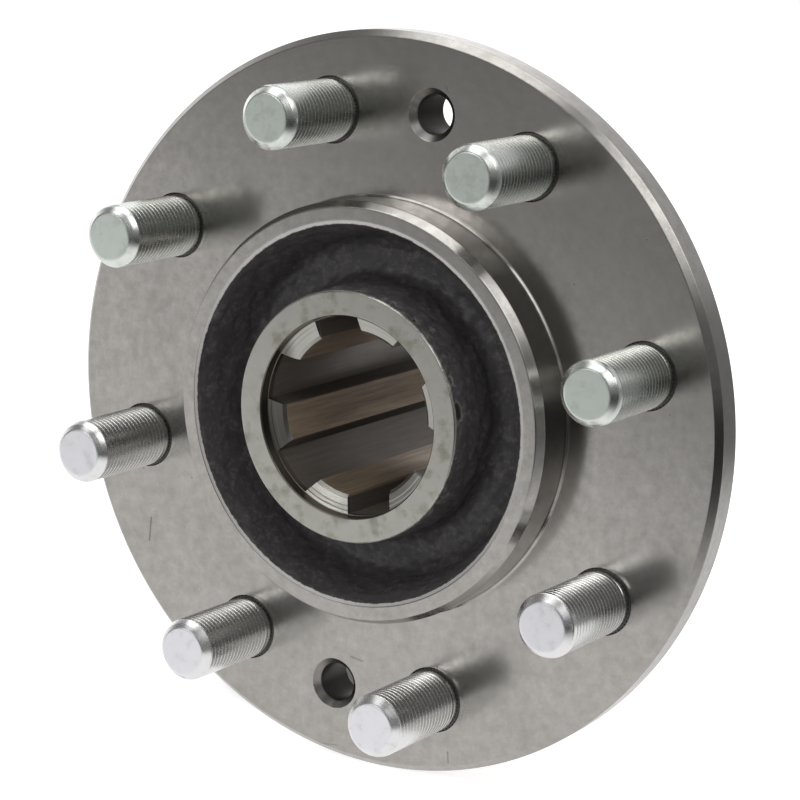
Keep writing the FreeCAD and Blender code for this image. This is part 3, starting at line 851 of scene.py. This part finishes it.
@dataclass
class Hub:
    """The hub casting: flange, pilot ring, cast recess, splined boss and barrel."""

    circle: StudCircle
    flange_radius: float = 95.25
    flange_thick: float = 14.0
    pilot_radius: float = 53.75
    pilot_height: float = 13.3
    boss_radius: float = 32.0
    boss_height: float = 16.8
    floor: float = 3.2
    recess_radius: float = 42.7
    recess_wall: float = 48.0
    rim_chamfer: float = 1.65
    back_radius: float = 47.0
    shoulder_radius: float = 39.0
    seat: float = 20.0
    barrel_radius: float = 32.5
    groove_radius: float = 31.0
    bearing_end: float = 66.0
    groove_end: float = 68.65
    barrel_end: float = 72.65
    major_radius: float = 25.4
    minor_radius: float = 20.85
    groove_half: float = 6.35
    mouth_radius: float = 25.6
    stud_hole: float = 8.45
    stud_sink: float = 0.16
    puller_hole: float = 5.1
    puller_sink: float = 1.6
    puller_angles: Span = (169.5, 349.5)
    hole_steps: int = 64
    arc_points: int = 13
    overrun: float = 1.0
    spline_teeth: int = 6
    cast_lumps: tuple[tuple[float, float, Point], ...] = (
        (3.4, 0.42, (0.0, 0.0, 0.0)),
        (1.7, 0.34, (31.0, 7.0, 3.0)),
        (8.5, 0.35, (3.0, 19.0, 5.0)),
    )

    def section(self) -> Section:
        """The hub's half section, from the boss face round the outside and back through the bore."""
        front, ring, edge = -self.boss_height, -self.pilot_height, self.flange_radius
        boss, pilot, barrel, end = self.boss_radius, self.pilot_radius, self.barrel_radius, self.barrel_end
        minor, mouth, cast = self.minor_radius, self.mouth_radius, Surface.CAST
        rows = [
            (mouth + 0.3, front, 0.08),
            (boss - 0.4, front, 0.15),
            (boss, front + 0.6, 0.3, cast),
            (boss + 1.0, self.floor, 4.5, cast),
            (self.recess_radius, self.floor, 5.0, cast),
            (self.recess_wall, ring + 0.3, 0.0),
            (self.recess_wall + 1.05, ring, 0.15),
            (pilot - 1.4, ring, 0.25),
            (pilot, ring + 2.5, 0.4),
            (pilot, -0.5, 0.12),
            (pilot + 0.5, 0.0, 0.12),
            (edge - self.rim_chamfer, 0.0, 0.2),
            (edge, self.rim_chamfer, 0.25),
            (edge, 8.2, 0.5),
            (edge - 5.8, self.flange_thick, 0.8),
            (self.back_radius, self.flange_thick, 1.5),
            (self.shoulder_radius, 17.5, 1.2),
            (self.shoulder_radius, self.seat, 0.3),
            (barrel, self.seat, 0.3),
            (barrel, self.bearing_end, 0.1),
            (self.groove_radius, self.bearing_end, 0.1),
            (self.groove_radius, self.groove_end, 0.1),
            (barrel, self.groove_end, 0.1),
            (barrel, end - 1.5, 0.3),
            (barrel - 1.5, end, 0.3),
            (self.major_radius + 0.02, end, 0.12),
            (minor, end - 3.0, 0.1),
            (minor, front + 5.1, 0.15),
            (minor + 0.9, front + 4.2, 0.12),
            (23.3, front + 3.68, 0.05),
            (23.6, front + 3.66, 0.05),
            (24.4, front + 3.40, 0.05),
            (24.7, front + 3.38, 0.05),
            (mouth, front + 3.08, 0.2),
            (mouth, front + 0.3, 0.08),
        ]
        return Section([Corner(*row) for row in rows])

    def cast_relief(self, place: Vector) -> float:
        """How far the cast skin stands out at a place, in millimetres."""
        lumps = (noise.noise(place / width + Vector(shift)) * depth for width, depth, shift in self.cast_lumps)
        return sum(lumps)

    def hole_cutter(self, x: float, z: float, radius: float, sink: float) -> Shell:
        """Corners and faces of the body that cuts one countersunk hole."""
        above = self.overrun
        rows = [(radius + sink + above, -above), (radius, sink), (radius, self.flange_thick + above)]
        angles = np.arange(self.hole_steps) * 2 * math.pi / self.hole_steps
        rings = []
        for reach, along in rows:
            level = np.full(self.hole_steps, along)
            rings.append(np.stack([x + reach * np.cos(angles), level, z + reach * np.sin(angles)], axis=1))
        return np.concatenate(rings), closed_tube(len(rows), self.hole_steps)

    def groove_cutter(self, angle: float) -> Shell:
        """Corners and faces of the bar that cuts one spline groove."""
        spread = math.asin(self.groove_half / self.major_radius)
        foot = self.minor_radius - self.groove_half / 2
        turns = np.linspace(-spread, spread, self.arc_points)
        arc = [(self.major_radius * math.sin(turn), self.major_radius * math.cos(turn)) for turn in turns]
        shape = np.array([(-self.groove_half, foot), *arc, (self.groove_half, foot)])
        c, s = math.cos(angle), math.sin(angle)
        x = shape[:, 0] * c - shape[:, 1] * s
        z = shape[:, 0] * s + shape[:, 1] * c
        ends = (-self.boss_height - 2 * self.overrun, self.barrel_end + 2 * self.overrun)
        points = np.concatenate([np.stack([x, np.full(len(shape), along), z], axis=1) for along in ends])
        return points, [[face[0], *face[:0:-1]] for face in closed_tube(len(ends), len(shape))]

    def cutters(self) -> Object:
        """Every hole and groove as one cutting object."""
        spots = [self.circle.spot(number) for number in range(self.circle.count)]
        shapes = [self.hole_cutter(*spot, self.stud_hole, self.stud_sink) for spot in spots]
        for angle in self.puller_angles:
            shapes.append(self.hole_cutter(*self.circle.at(angle), self.puller_hole, self.puller_sink))
        for number in range(self.spline_teeth):
            angle = self.circle.first_angle + 360 * number / self.spline_teeth
            shapes.append(self.groove_cutter(math.radians(angle)))
        points, faces, first = [], [], 0
        for corners, sides in shapes:
            points.append(corners)
            faces += [[first + corner for corner in side] for side in sides]
            first += len(corners)
        made = mesh_object("cutters", np.concatenate(points), faces)
        weld(made, 0.0001)
        return made

    def build(self) -> Object:
        """The finished casting's mesh."""
        piece = self.section().turned("hub_casting", self.cast_relief)
        cutter = self.cutters()
        cut = piece.modifiers.new("holes", "BOOLEAN")
        cut.operation = "DIFFERENCE"
        cut.solver = "EXACT"
        cut.object = cutter
        bpy.context.view_layer.update()
        shaped = bpy.data.meshes.new_from_object(piece.evaluated_get(bpy.context.evaluated_depsgraph_get()))
        piece.modifiers.clear()
        piece.data = shaped
        bpy.data.objects.remove(cutter)
        weld(piece, 0.0005)
        sharpen(piece, 28)
        return piece

    def dress(self, material: bpy.types.Material) -> None:
        """Builds the casting, gives it its finish and hangs it on the turning body."""
        piece = self.build()
        dress(piece, material)
        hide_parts("hub")
        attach(piece, "rotating_hub")


@dataclass
class Stud:
    """One wheel stud: chamfered tip, rolled thread, knurl in the flange and a round head behind it."""

    x: float
    z: float
    number: int
    radius: float = 8.0
    pitch: float = 1.5
    depth: float = 0.45
    shares: tuple[float, ...] = (-0.38, 0.38, 0.5)
    reach: float = 29.1
    tip_chamfer: float = 1.9
    thread_end: float = -1.4
    neck_radius: float = 7.9
    knurl_foot: float = 8.12
    knurl_radius: float = 8.5
    lip: float = 0.25
    flange_thick: float = 14.0
    head_radius: float = 11.25
    head_thick: float = 5.0
    turn_parts: int = 96
    twist: float = 0.9

    def thread_radius(self, share: float) -> float:
        """The thread's radius at a share of one pitch from the middle of a crest."""
        away = abs((share + 0.5) % 1.0 - 0.5)
        crest, root = self.shares[1:]
        ramp = max((away - crest) / (root - crest), 0.0)
        return self.radius - self.depth * ramp

    def rows(self) -> list[list[Span]]:
        """Rows of (radius, along) pairs, one pair for each step round the stud, from tip to head."""
        tip = -self.reach + self.lip
        parts = self.turn_parts
        cone_foot = self.radius - self.tip_chamfer + self.lip
        first = math.floor(tip / self.pitch) - 2
        last = math.ceil(self.thread_end / self.pitch) + 1
        table = []
        for turn_number in range(first, last + 1):
            for share in self.shares:
                row = []
                for step in range(parts):
                    along = (turn_number + share + step / parts) * self.pitch
                    kept = min(max(along, tip), self.thread_end)
                    radius = min(self.thread_radius(share), cone_foot + (kept - tip))
                    runout = min((self.thread_end - kept) / self.pitch, 1.0)
                    row.append((radius * runout + self.neck_radius * (1 - runout), kept))
                table.append(row)
        return table

    def build(self) -> Object:
        """The stud's mesh."""
        parts = self.turn_parts
        table = np.array(self.rows())
        angles = np.arange(parts) * 2 * math.pi / parts + self.number * self.twist
        cos, sin = np.cos(angles), np.sin(angles)

        def ring(radii: np.ndarray | float, along: np.ndarray | float) -> np.ndarray:
            """One ring of corners round the stud's axis."""
            radii, along = np.broadcast_to(radii, parts), np.broadcast_to(along, parts)
            return np.stack([self.x + radii * cos, along, self.z + radii * sin], axis=1)

        tip, face = -self.reach, self.radius - self.tip_chamfer
        rings = [ring(face - 0.75, tip), ring(face - 0.33, tip), ring(face - 0.1, tip + 0.02)]
        rings.append(ring(face + 0.1, tip + 0.11))
        first = len(rings)
        rings += [ring(row[:, 0], row[:, 1]) for row in table]
        crest = np.arange(parts) % 2
        back, end = self.flange_thick, self.flange_thick + self.head_thick
        knurl = self.knurl_foot + (self.knurl_radius - self.knurl_foot) * crest
        shank = (
            (self.neck_radius, -1.0),
            (self.neck_radius, 0.2),
            (knurl, 0.42 - 0.3 * crest),
            (knurl, back - 0.2),
            (self.knurl_radius, back),
            (self.head_radius - 0.35, back),
            (self.head_radius, back + 0.35),
            (self.head_radius, end - 1.0),
            (self.head_radius - 0.4, end - 0.35),
            (self.head_radius - 1.2, end),
            (self.head_radius - 2.2, end),
        )
        rings += [ring(*row) for row in shank]
        points = np.concatenate(rings)
        faces: list[Sequence[int]] = []
        last_thread = first + len(table) - 1
        for low in range(len(rings) - 1):
            high = low + 1
            threaded = first <= low < last_thread
            limit = last_thread if threaded else high
            for step in range(parts):
                onward = (step + 1) % parts
                wrap = len(self.shares) if threaded and onward == 0 else 0
                a, d = low * parts + step, high * parts + step
                b, c = (min(level + wrap, limit) * parts + onward for level in (low, high))
                faces.append((a, d, c, b))
        last = (len(rings) - 1) * parts
        faces.append(tuple(range(last, last + parts)))
        faces.append(tuple(range(parts))[::-1])
        kept = [face for face in faces if len(set(face)) > 2]
        piece = mesh_object(f"wheel_stud_{self.number}", points, kept)
        weld(piece, 0.002)
        sharpen(piece, 40)
        return piece

    def dress(self, material: bpy.types.Material) -> None:
        """Builds the stud, plates it and hangs it on the turning body."""
        piece = self.build()
        dress(piece, material)
        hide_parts(f"stud_{self.number}")
        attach(piece, "rotating_hub")


@dataclass
class Bearing:
    """The double-row bearing and its spring ring, whose solids keep their shape and get their finishes."""

    ground: Finish = GroundSteel("ground_bearing_steel")
    polished: Finish = GroundSteel("polished_rollers", (0.62, 0.62, 0.62), (0.5, 0.5, 0.5), 0.14)
    cage: Finish = PressedSteel("pressed_cage")
    case: Finish = PressedSteel("pressed_seal_case", (0.46, 0.46, 0.45), (0.30, 0.30, 0.30))
    rubber: Finish = SealRubber("seal_lip_rubber")
    spring: Finish = SpringSteel("blackened_spring")

    def dress(self) -> None:
        """Gives each solid of the bearing its finish."""
        finishes = {
            self.ground: ("bearing_outer_ring", "bearing_inner_ring_outboard", "bearing_inner_ring_inboard"),
            self.polished: ("rollers_outboard", "rollers_inboard"),
            self.cage: ("cage_outboard", "cage_inboard"),
            self.case: ("seal_case_outboard", "seal_case_inboard"),
            self.rubber: ("seal_lip_outboard", "seal_lip_inboard"),
            self.spring: ("retaining_ring",),
        }
        for finish, names in finishes.items():
            material = finish.material()
            for name in names:
                dress(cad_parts[name], material)


@dataclass(frozen=True)
class Glow:
    """A soft round patch of light in the room that metal mirrors."""

    middle: Point
    full: float
    reach: float
    level: float
    front: float = -1.0

    def light(self, graph: Graph, direction: Socket, along: Number) -> Number:
        """What the glow adds to the room.

        Args:
            graph: the world's nodes.
            direction: where the room is looked at.
            along: the direction's share along +Y. The glow ends at its front.

        Returns:
            The glow's level within its full angle, falling to 0 at its reach.
        """
        nearness = graph.measure("DOT_PRODUCT", direction, tuple(Vector(self.middle).normalized()))
        patch = nearness.between(math.cos(math.radians(self.reach)), math.cos(math.radians(self.full)))
        return patch * along.between(self.front - 0.06, self.front) * self.level


@dataclass(frozen=True)
class Lamp:
    """One soft lamp that faces the part, in metres and watts. Metal may mirror it or not."""

    name: str
    place: Point
    size: Span
    power: float
    mirrored: bool

    def hang(self) -> None:
        """Puts the lamp in the scene."""
        data = bpy.data.lights.new(self.name, "AREA")
        data.shape = "RECTANGLE"
        data.size, data.size_y = self.size
        data.energy = self.power
        lamp = bpy.data.objects.new(self.name, data)
        lamp.location = self.place
        lamp.rotation_euler = Vector(self.place).to_track_quat("Z", "Y").to_euler()
        lamp.visible_camera = False
        lamp.visible_glossy = self.mirrored
        bpy.context.scene.collection.objects.link(lamp)


@dataclass
class Studio:
    """Camera, lamps, floor and background."""

    eye: Point = (0.39276, -0.62104, 0.14351)
    right: Point = (0.84754, 0.53065, 0.00972)
    up: Point = (-0.10853, 0.15535, 0.98188)
    lens: float = 132.8
    room: float = 0.17
    fill: float = 0.85
    backdrop: float = 0.6
    glows: tuple[Glow, ...] = (
        Glow((-0.12, -0.04, 0.99), 16.0, 28.0, 1.9),
        Glow((0.64, -0.25, 0.72), 9.0, 27.0, 2.0, -0.46),
        Glow((-0.30, -0.84, 0.44), 8.0, 25.0, 0.6),
        Glow((-0.23, 0.83, 0.49), 10.0, 26.0, 0.2),
    )
    front_fade: Span = (-0.1, 0.35)
    left_x: Span = (0.0, -0.4)
    left_z: Span = (0.75, 0.3)
    left_gain: float = 0.7
    right_x: Span = (0.3, 0.42)
    right_z: Span = (0.28, 0.15)
    right_loss: float = 0.35
    lamps: tuple[Lamp, ...] = (
        Lamp("key", (-0.55, -1.46, 0.65), (0.55, 0.42), 2.0, True),
        Lamp("top", (0.25, -0.50, 1.00), (1.3, 0.7), 4.5, False),
    )
    floor_size: float = 6.0
    floor_steps: int = 12

    def place_camera(self) -> None:
        """The photograph's viewpoint."""
        data = bpy.data.cameras.new("camera")
        data.sensor_fit = "HORIZONTAL"
        data.sensor_width = 36.0
        data.lens = self.lens
        data.clip_start = 0.01
        camera = bpy.data.objects.new("camera", data)
        right = Vector(self.right).normalized()
        up = Vector(self.up)
        up = (up - right * up.dot(right)).normalized()
        turn = Matrix((right, up, right.cross(up))).transposed().to_4x4()
        camera.matrix_world = Matrix.Translation(self.eye) @ turn
        bpy.context.scene.collection.objects.link(camera)
        bpy.context.scene.camera = camera

    def light_world(self) -> None:
        """White backdrop for the camera, even fill, and a room that metal mirrors, dimmer in front."""
        world = bpy.data.worlds.new("studio")
        bpy.context.scene.world = world
        world.use_nodes = True
        graph = Graph(world.node_tree)
        direction = graph.node("ShaderNodeTexCoord").outputs["Generated"]
        across, along, upward = graph.split(direction)
        left_low = across.between(*self.left_x) * upward.between(*self.left_z)
        right_low = across.between(*self.right_x) * upward.between(*self.right_z)
        behind = self.backdrop + left_low * self.left_gain - right_low * self.right_loss
        mirrored = self.room + along.between(*self.front_fade) * (behind - self.room)
        for glow in self.glows:
            mirrored = mirrored + glow.light(graph, direction, along)
        level = self.fill + graph.ray("Glossy") * (mirrored - self.fill)
        strength = level + graph.ray("Camera") * (1.0 - level)
        sky = graph.node("ShaderNodeBackground", None, {"Color": (1.0, 1.0, 1.0), "Strength": strength})
        graph.node("ShaderNodeOutputWorld", None, {"Surface": sky.outputs[0]})

    def lay_floor(self, height: float) -> None:
        """The floor that the part stands on, at a height in metres."""
        reach = self.floor_size / 2 / MM
        level = height / MM
        corners = self.floor_steps + 1
        line = np.linspace(-reach, reach, corners)
        points = np.array([(x, y, level) for y in line for x in line])
        starts = (a for a in range(self.floor_steps * corners) if (a + 1) % corners)
        faces = [(a, a + 1, a + corners + 1, a + corners) for a in starts]
        floor = mesh_object("studio_floor", points, faces)
        dress(floor, StudioFloor("studio_floor").material())

    def set_up(self, floor_height: float) -> None:
        """Places everything in the studio, with the floor at a height in metres."""
        bpy.context.scene.view_settings.view_transform = "Standard"
        self.place_camera()
        self.light_world()
        self.lay_floor(floor_height)
        for lamp in self.lamps:
            lamp.hang()


def main() -> None:
    """Builds and dresses every piece, then sets up the studio."""
    logging.basicConfig(level=logging.INFO, format="%(message)s")
    floor_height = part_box("hub")[0].z
    circle = StudCircle()
    Hub(circle).dress(HubIron("turned_and_cast_iron").material())
    zinc = Zinc("zinc_plate").material()
    for number in range(circle.count):
        x, z = circle.spot(number)
        Stud(x, z, number + 1).dress(zinc)
    Bearing().dress()
    Studio().set_up(floor_height)


if __name__ == "__main__":
    main()
